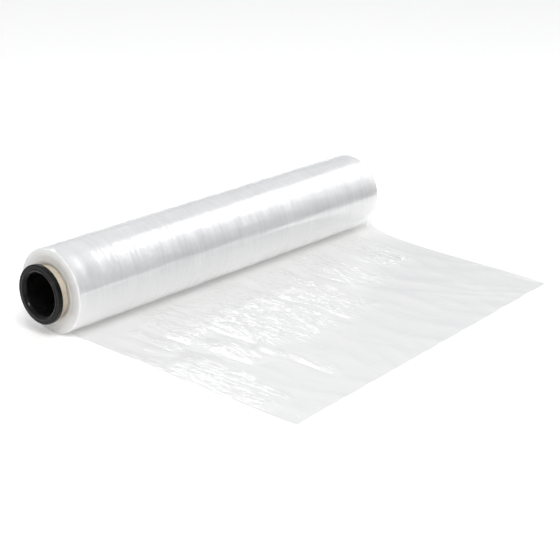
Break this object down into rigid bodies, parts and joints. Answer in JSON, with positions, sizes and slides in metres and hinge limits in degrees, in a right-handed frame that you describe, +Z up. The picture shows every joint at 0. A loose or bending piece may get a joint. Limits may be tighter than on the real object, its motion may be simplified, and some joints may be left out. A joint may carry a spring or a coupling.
{
  "type": "stretch wrap roll",
  "caption": "Roll of clear stretch film wound on a cardboard core with a black flanged plug in each end, its free tail lying out flat.",
  "frame": {"origin": "on the axis of the core, at the middle of the roll", "axes": "+X along the core axis, -Y the way the free tail lies, +Z up"},
  "size_m": [0.5312, 0.3758, 0.0931],
  "materials": {
    "film": "clear stretch film, glossy",
    "core": "plain kraft board",
    "plug": "moulded, satin"
  },
  "bodies": {
    "root": {"film": "film", "core_tube": "core", "end_plug_left": "plug", "end_plug_right": "plug"}
  },
  "joints": []
}
